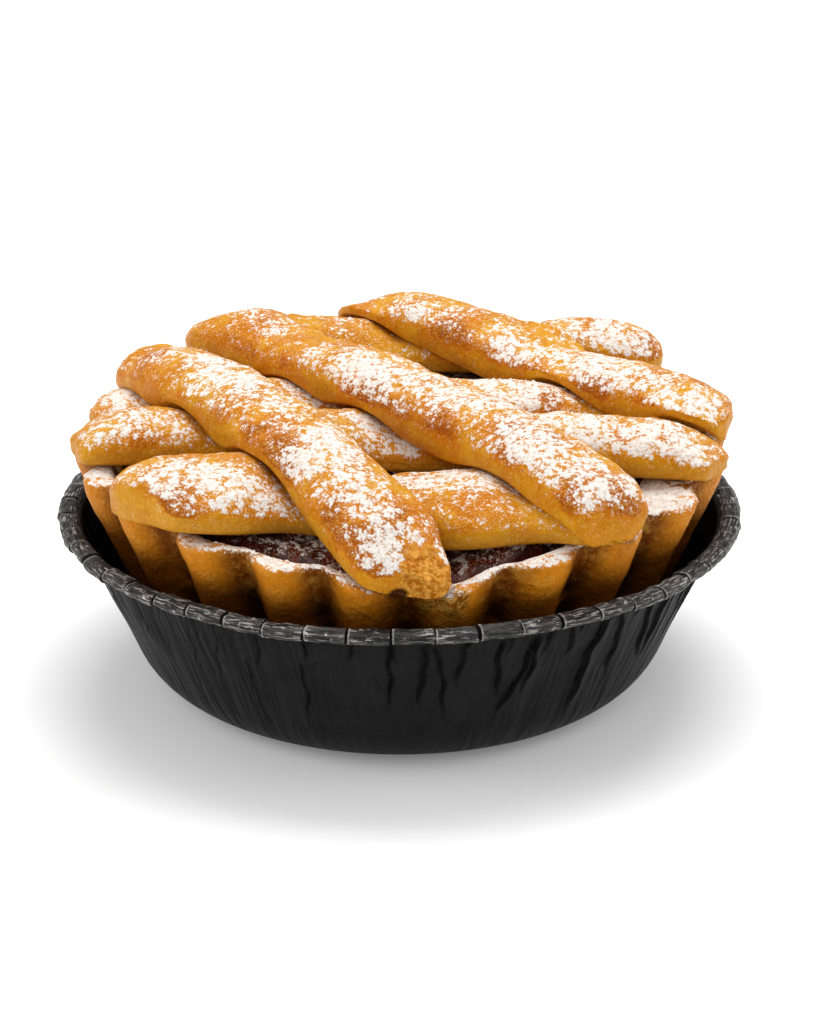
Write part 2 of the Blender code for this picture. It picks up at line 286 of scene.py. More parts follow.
def fold_depth(bearing, height):
    """How far the folds push the paper out, and how deep in a crease a point lies."""
    push = np.zeros_like(bearing)
    crease = np.zeros_like(bearing)
    for top, high, foot, low, depth, reach in folds:
        share = (high - height) / (high - low)
        wander = 0.006 * np.sin(height / (2.1 * MM) + top * 40)
        wander += 0.004 * np.sin(height / (0.9 * MM) + foot * 70)
        line = top + (foot - top) * share + wander
        off = np.remainder(bearing - line + math.pi, 2 * math.pi) - math.pi
        off = off * CASE_MIDDLE
        keep = smooth_step(0, 0.08, share) * smooth_step(1.0, 0.55, share)
        keep = np.where((share > 0) & (share < 1), keep, 0)
        side = np.where(off > 0, np.exp(-off / reach), -0.35 * np.exp(off / (0.5 * reach)))
        push += keep * depth * side
        crease = np.maximum(crease, keep * min(1, depth / (0.45 * MM)) * np.exp(-(off / (0.33 * MM)) ** 2))
    return push, crease


case_around = 20 * PLEATS
case_bearing = np.arange(case_around) / case_around * 2 * math.pi
case_rings, case_creases = [], []
for offset, rows in ((0.0, 34), (PAPER, 26)):
    radius, height = case_wall(offset, rows)
    bearing = np.broadcast_to(case_bearing, (len(radius), case_around))
    push, crease = fold_depth(bearing, np.broadcast_to(height[:, None], bearing.shape))
    across = radius[:, None] + push * smooth_step(4 * MM, 12 * MM, height)[:, None]
    upright = np.broadcast_to(height[:, None], bearing.shape)
    case_rings.append(np.stack([across * np.sin(bearing), -across * np.cos(bearing), upright], -1))
    case_creases.append(crease)
wall_rings = np.concatenate([case_rings[0], case_rings[1][::-1]])
wall_mesh = ring_mesh("case_wall", wall_rings)
wall_points = points_of(wall_mesh)
wave = unevenness(wall_points, 11 * MM, 3)
from_axis = np.hypot(wall_points[:, 0], wall_points[:, 1])[:, None] + 1e-9
outward = wall_points * np.array([1, 1, 0]) / from_axis
height = wall_points[:, 2]
standing = smooth_step(6 * MM, 14 * MM, height) * smooth_step(31 * MM, 27 * MM, height)
move_points(wall_mesh, wall_points + outward * (0.35 * MM * wave * standing)[:, None])
crease = np.concatenate([case_creases[0], case_creases[1][::-1]]).ravel()
paint(wall_mesh, "crease", np.concatenate([crease, [0, 0]]))

lacquer = Finish("black_lacquered_paper", Specular_IOR_Level=0.07)
fibre = lacquer.lumps(0.35 * MM, 3, 0.7)
cloud = lacquer.lumps(6 * MM, 4, 0.6)
drawn = lacquer.lumps(1.0, 5, 0.7, lacquer.round_axis(0.9 * MM, 9 * MM))
hair = lacquer.lumps(1.0, 4, 0.7, lacquer.round_axis(0.28 * MM, 5 * MM))
pleat = lacquer.lumps(1.0, 2, 0.6, lacquer.round_axis(3.0 * MM, 26 * MM))
fold = lacquer.painted("crease")
tone = lacquer.blend(cloud.between(0.35, 0.7), (0.006, 0.006, 0.0065), (0.010, 0.010, 0.0105))
tone = lacquer.blend(drawn.between(0.45, 0.75) * 0.3, tone, (0.018, 0.018, 0.018))
tone = lacquer.blend(fibre.between(0.5, 0.7) * 0.5, tone, (0.022, 0.022, 0.023))
tone = lacquer.blend(hair.between(0.64, 0.76) * 0.12, tone, (0.04, 0.04, 0.04))
# Painted shade: the creases are darkened nearly to black, as shade falls in the folded paper.
tone = lacquer.blend(fold, tone, (0.0006, 0.0006, 0.0007))
lacquer.set(Base_Color=tone, Roughness=0.38 + drawn * 0.2 + fold * 0.3)
lacquer.relief((fibre, 0.09 * MM), (pleat, 1.5 * MM), (drawn, 0.05 * MM), (1.0 - fold, 0.40 * MM))
case_wall_piece = add_piece("case_wall", wall_mesh)
wall_mesh.materials.append(lacquer.material)

# The rim of the case: the paper's edge rolled outwards into a bead and pressed, so that it is cracked into
# short lengths with a nick at each pleat. One length is made and set round the rim by a node tree.
bead_radius = float(case_wall(PAPER, 20)[0][-1]) + BEAD_REACH
bead_height = CASE_HEIGHT - BEAD_DEPTH / 2
pitch = 2 * math.pi / PLEATS
# Where a length's rings lie along it, in shares from its middle, closer together by its two joints
length_shares = np.array(
    [-0.5, -0.497, -0.487, -0.474, -0.455, -0.42, -0.36, -0.28, -0.2, -0.12, -0.04,
     0.04, 0.12, 0.2, 0.28, 0.36, 0.41, 0.445, 0.468, 0.483, 0.494, 0.5]
)
section_turns = -math.pi / 2 - np.arange(28) / 28 * 2 * math.pi
length_rings = []
for share in length_shares:
    from_joint = 0.5 - abs(share)
    lip = 1.03 - 0.40 * math.exp(-((from_joint / 0.013) ** 2))
    lip += 0.035 * (share + 0.5)
    squash = 0.87 + 0.11 * np.abs(np.cos(section_turns)) ** 0.5
    out = bead_radius + BEAD_WIDTH / 2 * lip * squash * np.cos(section_turns)
    up = bead_height + BEAD_DEPTH / 2 * lip * squash * np.sin(section_turns)
    along = share * pitch
    length_rings.append(np.stack([out * math.sin(along), -out * math.cos(along), up], -1))
length_piece = add_piece("rim_length", ring_mesh("rim_length", np.array(length_rings)))
from_joint = np.repeat(0.5 - np.abs(length_shares), len(section_turns))
paint(length_piece.data, "joint", np.append(smooth_step(0.028, 0.012, from_joint), [1, 1]))
from_start = np.repeat(0.5 + length_shares, len(section_turns))
# A thin painted highlight on the lifted edge beside each joint.
edge_highlight = np.exp(-(((from_start - 0.045) / 0.016) ** 2))
paint(length_piece.data, "joint_edge", np.append(edge_highlight, [0, 0]))
section = np.tile(np.arange(len(section_turns)) / len(section_turns), len(length_shares))
paint(length_piece.data, "section", np.append(section, [0, 0]))

rim_tree = bpy.data.node_groups.new("Rolled rim", "GeometryNodeTree")
for name, kind in (("Length of rim", "Object"), ("Lengths", "Int"), ("Tilt", "Float"),
                   ("Dents to the metre", "Float"), ("Dent depth", "Float"), ("Paper", "Material")):
    rim_tree.interface.new_socket(name, in_out="INPUT", socket_type="NodeSocket" + kind)
rim_tree.interface.new_socket("Mesh", in_out="OUTPUT", socket_type="NodeSocketGeometry")


def step_in(tree, kind, values=None, **settings):
    """One node of a geometry tree, with its settings and what feeds it."""
    node = tree.nodes.new(kind)
    for name, setting in settings.items():
        setattr(node, name, setting)
    for name, value in (values or {}).items():
        if isinstance(value, bpy.types.NodeSocket):
            tree.links.new(value, node.inputs[name])
        else:
            node.inputs[name].default_value = value
    return node


def sum_in(tree, operation, *values):
    """The result of one sum in a geometry tree."""
    return step_in(tree, "ShaderNodeMath", dict(enumerate(values)), operation=operation).outputs[0]


given = step_in(rim_tree, "NodeGroupInput").outputs
taken = step_in(rim_tree, "GeometryNodeObjectInfo", {"Object": given["Length of rim"]})
spots = step_in(rim_tree, "GeometryNodePoints", {"Count": given["Lengths"]})
number = step_in(rim_tree, "GeometryNodeInputIndex").outputs[0]
turn = sum_in(rim_tree, "MULTIPLY", number, pitch)
turn = sum_in(rim_tree, "ADD", turn, FIRST_PLEAT + pitch / 2)
least = sum_in(rim_tree, "MULTIPLY", given["Tilt"], -1.0)
sway = []
for seed in (4, 9):
    values = {2: least, 3: given["Tilt"], "ID": number, "Seed": seed}
    sway.append(step_in(rim_tree, "FunctionNodeRandomValue", values, data_type="FLOAT").outputs[1])
lean = step_in(rim_tree, "ShaderNodeCombineXYZ", {"X": sway[0], "Y": sway[1], "Z": turn}).outputs[0]
values = {"Points": spots.outputs[0], "Instance": taken.outputs["Geometry"], "Rotation": lean}
placed = step_in(rim_tree, "GeometryNodeInstanceOnPoints", values)
whole = step_in(rim_tree, "GeometryNodeRealizeInstances", {0: placed.outputs[0]})
facing = step_in(rim_tree, "GeometryNodeInputNormal").outputs[0]
place = step_in(rim_tree, "GeometryNodeInputPosition").outputs[0]
values = {"Vector": place, "Scale": given["Dents to the metre"], "Detail": 2.0}
dent = step_in(rim_tree, "ShaderNodeTexNoise", values).outputs[0]
dent = sum_in(rim_tree, "SUBTRACT", dent, 0.62)
dent = sum_in(rim_tree, "MULTIPLY", dent, given["Dent depth"])
values = {0: facing, "Scale": dent}
push = step_in(rim_tree, "ShaderNodeVectorMath", values, operation="SCALE").outputs[0]
dented = step_in(rim_tree, "GeometryNodeSetPosition", {"Geometry": whole.outputs[0], "Offset": push})
values = {"Geometry": dented.outputs[0], "Material": given["Paper"]}
dressed = step_in(rim_tree, "GeometryNodeSetMaterial", values)
step_in(rim_tree, "NodeGroupOutput", {"Mesh": dressed.outputs[0]})


def grown(tree, name, **inputs):
    """The plain mesh that a geometry tree makes from its named inputs."""
    host = add_piece(name, bpy.data.meshes.new(name + "_host"))
    modifier = host.modifiers.new(name, "NODES")
    modifier.node_group = tree
    for item in tree.interface.items_tree:
        key = item.name.replace(" ", "_").lower()
        if item.in_out == "INPUT" and key in inputs:
            modifier[item.identifier] = inputs[key]
    bpy.context.view_layer.update()
    graph = bpy.context.evaluated_depsgraph_get()
    mesh = bpy.data.meshes.new_from_object(host.evaluated_get(graph))
    host.modifiers.clear()
    host.data = mesh
    mesh.name = name
    return host


rolled = Finish("creased_rim_paper", Specular_IOR_Level=0.3)
round_bead = rolled.add("SeparateXYZ", None, {"Vector": rolled.round_axis(1.0, 1.0)}).outputs
turned = rolled.painted("section")


def creases_along(length, across, detail, rough):
    """Noise drawn out along the rim, with this length and width."""
    values = {"X": Amount(rolled, round_bead[0]) * (1 / length), "Y": turned * (8.5 * MM / across)}
    return rolled.lumps(1.0, detail, rough, rolled.add("CombineXYZ", None, values).outputs[0])


wrinkle = creases_along(4.5 * MM, 0.80 * MM, 4, 0.65)
streak_and_highlight = creases_along(2.6 * MM, 0.34 * MM, 3, 0.65)
grain = rolled.lumps(0.22 * MM, 3, 0.7)
glint = rolled.lumps(1.2 * MM, 4, 0.75)
patch = rolled.lumps(5.0 * MM, 2, 0.5)
# Near black to dark grey along the wrinkles, then painted light: highlights in streaks along the bead,
# white glints, and a painted highlight beside each dark joint.
tone = rolled.blend(wrinkle.between(0.42, 0.60), (0.004, 0.004, 0.004), (0.055, 0.053, 0.050))
tone = rolled.blend(streak_and_highlight.between(0.54, 0.59) * patch.between(0.3, 0.6), tone, (0.42, 0.40, 0.37))
tone = rolled.blend(glint.between(0.60, 0.66) * streak_and_highlight.between(0.45, 0.55), tone, (0.75, 0.73, 0.69))
tone = rolled.blend(rolled.painted("joint_edge") * glint.between(0.30, 0.55), tone, (0.45, 0.43, 0.40))
tone = rolled.blend(rolled.painted("joint"), tone, (0.001, 0.001, 0.001))
rolled.set(Base_Color=tone, Roughness=0.25 + grain * 0.25)
rolled.relief((grain, 0.05 * MM), (streak_and_highlight, 0.30 * MM), (wrinkle, 1.1 * MM))
rim_piece = grown(
    rim_tree, "case_rim", length_of_rim=length_piece, lengths=PLEATS, tilt=0.004,
    dents_to_the_metre=420.0, dent_depth=0.8 * MM, paper=rolled.material,
)
bpy.data.objects.remove(length_piece)
for piece in (case_wall_piece, rim_piece):
    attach(piece, "root")
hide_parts("baking_case")

# The crust: shortcrust pressed into a fluted tin and baked, then turned out into the case. Golden on the
# ridges, with a crumbly cut edge; painted shade darkens the grooves and, nearly to black, the foot and
# inner wall.
FLUTES = 22
FLUTE_BEARING = math.radians(-5.7)
FLUTE_DEPTH = 4.2 * MM
CRUST_BASE = PAPER + 0.3 * MM
CRUST_BASE_RADIUS = 38.1 * MM
CRUST_LEAN = math.radians(24.2)
CRUST_TURN = 40 * MM  # above this the wall stands up straighter
CRUST_UPPER_LEAN = math.radians(11)
CRUST_UNDERSIDE = 37 * MM  # radius of its flat underside
INNER_FOOT = 7 * MM  # height at which the inner wall turns into the floor
CRUST_FLOOR = 4.0 * MM
RIM_HEIGHT, RIM_TILT, RIM_DIP, RIM_RIPPLE = 43.5, 3.3, 5.2, 0.4  # mm
RIM_DIP_BEARING = math.radians(5)
RIM_DIP_SPREAD = math.radians(15)
RIM_INSET = 6.3  # mm, from the rim's outer edge in to the fruit
BROAD_BEARING, BROAD_SPREAD, BROAD_BY = math.radians(66), math.radians(12), 6.0  # the last in mm
TORN_CRUST = (6.5, -54, 5.0)  # x, y and reach of the place where the rim is broken, mm
RIM_HOLE = (-0.2, 35.2)  # x and height of the small hole by the broken place, mm


def flute_wave(bearing):
    uneven = 0.9 * np.sin(3 * bearing + 1.0) + 0.8 * np.sin(7 * bearing + 2.2)
    turn = FLUTES * (bearing - FLUTE_BEARING) + math.radians(18) * uneven
    return (0.5 + 0.5 * np.cos(turn)) ** 0.7


def rim_height(bearing):
    bearing = np.remainder(bearing + math.pi, 2 * math.pi) - math.pi
    dip = RIM_DIP * np.exp(-((bearing - RIM_DIP_BEARING) / RIM_DIP_SPREAD) ** 2)
    return (RIM_HEIGHT - RIM_TILT * np.cos(bearing) - dip + RIM_RIPPLE * np.sin(5 * bearing + 0.7)) * MM


def crust_radius(height):
    lower = np.minimum(height, CRUST_TURN) * math.tan(CRUST_LEAN)
    return CRUST_BASE_RADIUS + lower + np.maximum(height - CRUST_TURN, 0) * math.tan(CRUST_UPPER_LEAN)


def drift_thickness(points, drifts, veil):
    """0 to 1: how thick the sugar lies. Drifts are (x, y, reach, thickness), with x, y and reach in mm."""
    x, y = points[:, 0] / MM, points[:, 1] / MM
    fall = veil + 0.14 * unevenness(points, 6.5 * MM, 11, 2)
    edge = 1 + 0.45 * unevenness(points, 2.2 * MM, 13, 2)
    gap = np.ones(len(points))
    for at_x, at_y, reach, thick in drifts:
        away = ((x - at_x) ** 2 + ((y - at_y) / 1.5) ** 2) / (1.7 * reach * edge) ** 2
        gap *= 1 - 0.85 * thick * np.exp(-away)
    return np.clip(fall + (1 - gap) * 0.62, 0, 1)


# Over the rim: share of the flutes' depth, drop below the rim and inset from its edge, mm
RIM_ROWS = [
    (1.0, 0.8, 0.12), (0.97, 0.45, 0.4), (0.92, 0.22, 0.8), (0.84, 0.10, 1.3), (0.74, 0.04, 1.9),
    (0.64, 0.03, 2.5), (0.54, 0.06, 3.2), (0.45, 0.12, 3.9), (0.37, 0.22, 4.5), (0.30, 0.36, 5.0),
    (0.22, 0.60, 5.5), (0.14, 0.95, 5.9), (0.07, 1.4, 6.15), (0.0, 2.0, RIM_INSET),
    (0.0, 3.0, RIM_INSET), (0.0, 4.5, RIM_INSET), (0.0, 7.0, RIM_INSET), (0.0, 12.0, RIM_INSET),
]
# Sugar on the rim as the photograph shows it: x, y and reach in mm, and how thick
CRUST_DRIFTS = [
    (-51, -21, 3.0, 1.0), (-48, -28, 2.4, 0.8), (-33, -43, 3.6, 1.0), (-22, -47, 2.6, 1.0),
    (-15, -49, 2.2, 0.9), (45, -30, 3.4, 1.0), (52, -15, 2.5, 0.9), (12, -50, 2.0, 0.9),
    (20, -49, 2.4, 1.0), (27, -45, 2.4, 0.9),
]
WALL_ROWS = 40
# Rows of the mesh: on the rim's outer edge, in its middle, and where it has gone down inside
EDGE_ROW, RIM_ROW, INNER_ROW = 44, 49, 56
crust_around = 36 * FLUTES
bearing = np.arange(crust_around) / crust_around * 2 * math.pi
rim = rim_height(bearing)
wave = flute_wave(bearing)
crust_rings = [(CRUST_UNDERSIDE + 0 * rim, CRUST_BASE + 0 * rim)]
crust_rise = [0.0]
for share in np.linspace(0.02, 0.965, WALL_ROWS):
    height = CRUST_BASE + share * (rim - CRUST_BASE)
    foot = 2.2 * MM * math.exp(-share / 0.03)
    crust_rings.append((crust_radius(height) - foot - FLUTE_DEPTH * (1 - wave), height))
    crust_rise.append(share)
broad = BROAD_BY * np.exp(-(((bearing - BROAD_BEARING) / BROAD_SPREAD) ** 4))
for depth_share, drop, inset in RIM_ROWS:
    height = rim - drop * MM
    inset = inset + broad * float(smooth_step(2.0, RIM_INSET, inset))
    crust_rings.append((crust_radius(height) - inset * MM - FLUTE_DEPTH * depth_share * (1 - wave), height))
    crust_rise.append(1.0)
inner = crust_radius(INNER_FOOT) - RIM_INSET * MM
for radius, height in ((inner, INNER_FOOT), (inner - 2 * MM, CRUST_BASE + CRUST_FLOOR)):
    crust_rings.append((radius + 0 * rim, height + 0 * rim))
    crust_rise.append(0.1)
rings = np.array([np.stack([r * np.sin(bearing), -r * np.cos(bearing), z], -1) for r, z in crust_rings])
crust_mesh = ring_mesh("crust", rings)
points = points_of(crust_mesh)
normals = normals_of(crust_mesh)
rise = np.concatenate([np.repeat(crust_rise, crust_around), [0, 0]])
ridge = np.concatenate([np.tile(wave, len(crust_rings)), [0, 0]])
row = np.concatenate([np.repeat(np.arange(len(crust_rings)), crust_around), [99, 99]])
lump = 0.30 * unevenness(points, 7 * MM, 1) + 0.13 * unevenness(points, 2.6 * MM, 2, 2)
edge = np.exp(-((row - EDGE_ROW) / 5.0) ** 2)
lump = lump + edge * (0.28 * unevenness(points, 1.1 * MM, 3, 2) + 0.35 * unevenness(points, 3.2 * MM, 4))
lump = np.where((row > 0) & (row < INNER_ROW), lump, 0)
points = points + normals * (lump * MM)[:, None]
x, y, z = points.T / MM
to_torn = np.hypot(x - TORN_CRUST[0], y - TORN_CRUST[1]) / TORN_CRUST[2]
torn = smooth_step(1.1, 0.7, to_torn + 0.3 * unevenness(points, 2.2 * MM, 5))
torn = torn * smooth_step(-48, -50, y) * smooth_step(30, 34, z)
points = points + normals * (torn * 0.6 * unevenness(points, 1.3 * MM, 91, 3) * MM)[:, None]
move_points(crust_mesh, points)
paint(crust_mesh, "torn", torn)
x, y, z = points.T / MM
# Painted shade: a dark spot stands for the shaded inside of the small hole by the broken place.
hollow = np.exp(-(((x - RIM_HOLE[0]) / 1.3) ** 2 + ((z - RIM_HOLE[1]) / 0.9) ** 2))
paint(crust_mesh, "hole_shade", np.where(y < 0, np.clip(1.4 * hollow, 0, 1), 0))
paint(crust_mesh, "rise", rise)
paint(crust_mesh, "ridge", ridge)
normals = normals_of(crust_mesh)
on_rim = np.exp(-(((row - RIM_ROW) / 7.5) ** 4)) * smooth_step(-0.1, 0.35, normals[:, 2])
capped = 0.88 + 0.35 * unevenness(points, 4 * MM, 12, 2)
capped = on_rim * (capped + 0.35 * unevenness(points, 1.6 * MM, 15, 2))
drifts = drift_thickness(points, CRUST_DRIFTS, 0.0) * smooth_step(0.0, 0.5, normals[:, 2])
paint(crust_mesh, "sugar", np.clip(np.maximum(capped, drifts), 0, 1))

GRAIN_SIZE, CLUMP_SIZE, DRIFT_SIZE = 0.55 * MM, 1.3 * MM, 2.2 * MM
GRAIN_WEIGHT, CLUMP_WEIGHT, DRIFT_WEIGHT = 0.55, 0.6, 0.9  # how far each thickens or thins the dusting
GRAIN_MEAN, DRIFT_MEAN = 0.4, 0.5


def dust_with_sugar(finish, colour, rough, heights):
    """Icing sugar over a finish: a fine veil, then round grains that run together where it lies thick."""
    thick = finish.painted("sugar")
    grains = finish.grains(GRAIN_SIZE)
    clumps = finish.grains(CLUMP_SIZE)
    drift = finish.lumps(DRIFT_SIZE, 3, 0.6)
    here = thick.between(0.04, 0.18)
    field = thick + (grains - GRAIN_MEAN) * GRAIN_WEIGHT + (clumps - GRAIN_MEAN) * CLUMP_WEIGHT
    field = field + (drift - DRIFT_MEAN) * DRIFT_WEIGHT
    cover = field.between(0.46, 0.76) * here
    dots = finish.grains(0.36 * MM) + field * 0.30
    stipple = dots.between(0.52, 0.86) * thick.between(0.0, 0.14) * 0.45
    veil = finish.blend(field.between(0.1, 0.5), (0.82, 0.48, 0.11), (0.94, 0.78, 0.58))
    colour = finish.blend(stipple, colour, veil)
    lit = (grains + clumps * 0.6).between(0.1, 0.9)
    colour = finish.blend(cover, colour, finish.blend(lit, (0.72, 0.58, 0.46), (0.87, 0.82, 0.77)))
    finish.set(Base_Color=colour, Roughness=rough + cover * (0.95 - rough))
    bulk = field.between(0.25, 1.05) * here
    finish.relief(*heights, (bulk, 0.06 * MM))


baked = Finish("baked_crust", Specular_IOR_Level=0.2, Specular_Tint=(1.0, 0.66, 0.25, 1))
low = baked.painted("rise")
crown = baked.painted("ridge")
mottle = baked.lumps(2.8 * MM, 5, 0.65)
speck = baked.lumps(0.5 * MM, 3, 0.7)
patch = baked.lumps(8 * MM, 3, 0.5)
crumb = baked.lumps(0.8 * MM, 3, 0.65)
# Painted shade: much darker in the grooves than on the ridges, and near black towards the foot and on the
# inner wall.
colour = baked.blend(crown.between(0.15, 0.90), (0.16, 0.034, 0.001), (0.68, 0.225, 0.007))
shaded = baked.blend(crown.between(0.0, 0.7), (0.012, 0.003, 0.0005), (0.15, 0.040, 0.002))
colour = baked.blend(low.between(0.74, 0.93), shaded, colour)
colour = baked.blend(crumb.between(0.52, 0.68) * 0.35 * low.between(0.7, 0.95), colour, (0.62, 0.33, 0.06))
pale = mottle.between(0.45, 0.75) * 0.5 * low.between(0.72, 0.94)
colour = baked.blend(pale, colour, (0.76, 0.38, 0.055))
colour = baked.blend(patch.between(0.50, 0.70) * 0.5, colour, (0.36, 0.10, 0.004))
colour = baked.blend(speck.between(0.54, 0.72) * 0.5, colour, (0.16, 0.045, 0.002))
torn = baked.painted("torn")
shreds = baked.lumps(1.0 * MM, 4, 0.7)
broken = baked.blend(shreds.between(0.40, 0.62), (0.42, 0.12, 0.003), (0.86, 0.46, 0.09))
colour = baked.blend(torn, colour, broken)
# Painted shade for the small hole by the broken place.
colour = baked.blend(baked.painted("hole_shade"), colour, (0.06, 0.012, 0.003))
relief = [(mottle, 0.7 * MM), (crumb, 0.45 * MM), (speck, 0.16 * MM), (shreds * torn, 1.0 * MM)]
dust_with_sugar(baked, colour, 0.45, relief)
crust_piece = add_piece("crust", crust_mesh)
crust_mesh.materials.append(baked.material)
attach(crust_piece, "root")
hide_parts("tart_shell")

# The filling: dark fruit cooked to a sticky jam, with soft lumps and wet hollows, dusted where it shows.
# Like the strips it is a fine smooth copy of its plain solid, with the lumps pushed into that.
FINER_LEVELS = 3


def smooth_copy(node, name):
    """A fine smooth mesh in the form of a plain solid of the frame."""
    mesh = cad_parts[node].data.copy()
    mesh.name = name
    mesh.materials.clear()
    form = bmesh.new()
    form.from_mesh(mesh)
    bmesh.ops.remove_doubles(form, verts=form.verts, dist=0.01 * MM)
    bmesh.ops.join_triangles(form, faces=form.faces, angle_face_threshold=3.1, angle_shape_threshold=3.1)
    form.to_mesh(mesh)
    form.free()
    piece = add_piece(name, mesh)
    finer = piece.modifiers.new("finer", "SUBSURF")
    finer.levels = finer.render_levels = FINER_LEVELS
    graph = bpy.context.evaluated_depsgraph_get()
    made = bpy.data.meshes.new_from_object(piece.evaluated_get(graph))
    piece.modifiers.clear()
    piece.data = made
    made.name = name
    made.shade_smooth()
    return piece


fruit_piece = smooth_copy("filling", "fruit")
points = points_of(fruit_piece.data)
normals = normals_of(fruit_piece.data)
top = smooth_step(0.3, 0.8, normals[:, 2])
lump = 0.9 * unevenness(points, 4.2 * MM, 21, 2) + 0.45 * np.abs(unevenness(points, 1.8 * MM, 22, 2))
points = points + normals * (top * lump * MM)[:, None]
move_points(fruit_piece.data, points)
normals = normals_of(fruit_piece.data)
dusting = 0.56 * smooth_step(0.3, 0.8, normals[:, 2]) * (0.8 + 0.9 * unevenness(points, 2.4 * MM, 23, 2))
paint(fruit_piece.data, "sugar", np.clip(dusting * top, 0, 1))
jam = Finish("dark_fruit_jam", Specular_IOR_Level=0.3, Coat_Weight=0.45, Coat_Roughness=0.06)
pulp = jam.lumps(1.6 * MM, 4, 0.6)
skin = jam.lumps(4.5 * MM, 3, 0.5)
colour = jam.blend(skin.between(0.4, 0.65), (0.05, 0.005, 0.005), (0.17, 0.016, 0.010))
colour = jam.blend(pulp.between(0.55, 0.75) * 0.6, colour, (0.13, 0.02, 0.012))
dust_with_sugar(jam, colour, 0.25, [(pulp, 0.5 * MM)])
fruit_piece.data.materials.append(jam.material)
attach(fruit_piece, "root")
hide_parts("filling")

# The lattice: ribbons of the same dough, laid one way and then the other, pressed on to the rim and cut
# off by the tin's edge. Browned along their shoulders, pale on their sides, bulging between crossings.
# What lies on each strip, as the photograph shows it: sugar drifts, then browned places, each as x, y and
# reach in mm and how much
LOWER_STRIPS = {
    "lower_strip_1": (
        [(-45, -38, 2.2, 0.6), (-38, -40, 2.8, 0.9), (-37, -35, 2.4, 0.75), (-31, -34, 1.8, 0.8),
         (-27, -42, 2.4, 0.75), (-25, -37, 2.0, 0.6), (-20, -39, 3.0, 0.85), (3, -29, 2.8, 1.0),
         (9, -28, 2.4, 0.9), (14, -30, 2.4, 0.85), (20, -29, 2.2, 0.8), (26, -33, 2.2, 0.7)],
        [(-36, -44, 3.6, 1.0), (-21, -43, 2.8, 0.5), (12, -38, 3.0, 0.6)],
    ),
    "lower_strip_2": (
        [(-51, -14, 1.8, 0.6), (-46, -10, 2.8, 0.75), (-38, -10, 2.4, 0.7), (-5, -7, 3.0, 1.0),
         (0, -11, 2.2, 0.75), (25, -11, 2.6, 1.0), (32, -14, 3.0, 1.0), (44, -15, 3.2, 0.9),
         (41, -20, 2.6, 0.9), (49, -20, 2.8, 0.95)],
        [(-44, -15, 2.4, 0.6), (2, -15, 2.0, 0.5), (37, -16, 1.8, 0.6), (46, -18, 2.6, 0.55)],
    ),
    "lower_strip_3": (
        [(-48, 10, 3.0, 0.95), (-17, 11, 3.0, 0.9), (-10, 9, 2.0, 0.7), (15, 7, 2.8, 0.95),
         (23, 12, 2.8, 1.0), (22, 4, 2.0, 1.0), (29, 9, 2.0, 0.9), (50, 7, 2.2, 0.7)],
        [(26, 4, 2.4, 0.9), (-13, 5, 1.8, 0.5)],
    ),
    "lower_strip_4": (
        [(-26, 42, 1.8, 0.6), (-10, 40, 2.2, 0.5), (30, 35, 2.4, 0.65), (37, 30, 2.8, 0.9),
         (42, 28, 2.8, 1.0)],
        [(36, 35, 2.4, 0.7), (45, 30, 1.8, 0.8)],
    ),
}
TORN_END = (5.5, -54.5, 5.2)  # x, y and reach of the first upper strip's broken end, mm
END_HOLE = (-0.3, -54.0, 36.6)  # the small hole beside that end, mm
BELLY_DROP = 0.6  # mm, how far the underside reaches down to what it lies on


def dress_strip(node, drifts, browned, seed):
    """The dough of one strip over its plain solid, with what its material reads."""
    piece = smooth_copy(node, node + "_dough")
    points = points_of(piece.data)
    normals = normals_of(piece.data)
    lump = 0.42 * unevenness(points, 7 * MM, seed) + 0.26 * unevenness(points, 3.0 * MM, seed + 1)
    lump = lump + 0.11 * unevenness(points, 1.2 * MM, seed + 2, 2)
    x, y, _ = points.T / MM
    to_torn = np.hypot(x - TORN_END[0], y - TORN_END[1]) / TORN_END[2]
    torn = smooth_step(1.15, 0.75, to_torn + 0.25 * unevenness(points, 2.2 * MM, seed + 4))
    lump = lump + torn * (0.55 * unevenness(points, 1.3 * MM, 91, 3) - 0.15)
    belly = smooth_step(-0.15, -0.7, normals[:, 2])
    points = points + normals * ((0.18 + lump * (1 - belly)) * MM)[:, None]
    points[:, 2] -= belly * BELLY_DROP * MM
    move_points(piece.data, points)

    normals = normals_of(piece.data)
    up = normals[:, 2]
    drift = 0.5 + 0.5 * unevenness(points, 7 * MM, seed + 3, 2)
    shoulder = smooth_step(0.0, 0.45, up) * smooth_step(0.98, 0.60, up)
    brown = (0.9 if node.startswith("upper") else 0.35) * shoulder * np.clip(1.7 * drift - 0.45, 0, 1)
    x, y, z = points.T / MM
    for at_x, at_y, reach, much in browned:
        away = ((x - at_x) ** 2 + ((y - at_y) / 1.4) ** 2) / (1.5 * reach) ** 2
        brown += much * np.exp(-away) * smooth_step(-0.1, 0.4, up)
    paint(piece.data, "brown", np.clip(brown, 0, 1))
    low_side = smooth_step(0.40, -0.30, up) * (0.65 + 0.45 * unevenness(points, 6 * MM, seed + 7))
    if node.startswith("upper"):
        low_side *= 0.6
    else:
        low_side += 0.20 * (1 + unevenness(points, 9 * MM, seed + 8))
    paint(piece.data, "pale", np.clip(low_side, 0, 1))
    paint(piece.data, "torn", torn)
    # Painted shade: a dark spot stands for the shaded inside of the small hole beside the broken end.
    to_hole = ((x - END_HOLE[0]) / 1.7) ** 2 + ((y - END_HOLE[1]) / 2.5) ** 2
    to_hole += ((z - END_HOLE[2]) / 1.3) ** 2
    paint(piece.data, "hole_shade", np.exp(-to_hole))
    fall = drift_thickness(points, drifts, 0.27) * smooth_step(0.15, 0.70, up)
    side_dust = 0.10 * smooth_step(-0.7, 0.1, up) * (1 + 0.9 * unevenness(points, 3 * MM, seed + 9))
    fall = np.maximum(fall, np.clip(side_dust, 0, 1))
    paint(piece.data, "sugar", fall * (1 - 0.95 * torn))
    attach(piece, "root")
    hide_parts(node)
    return piece


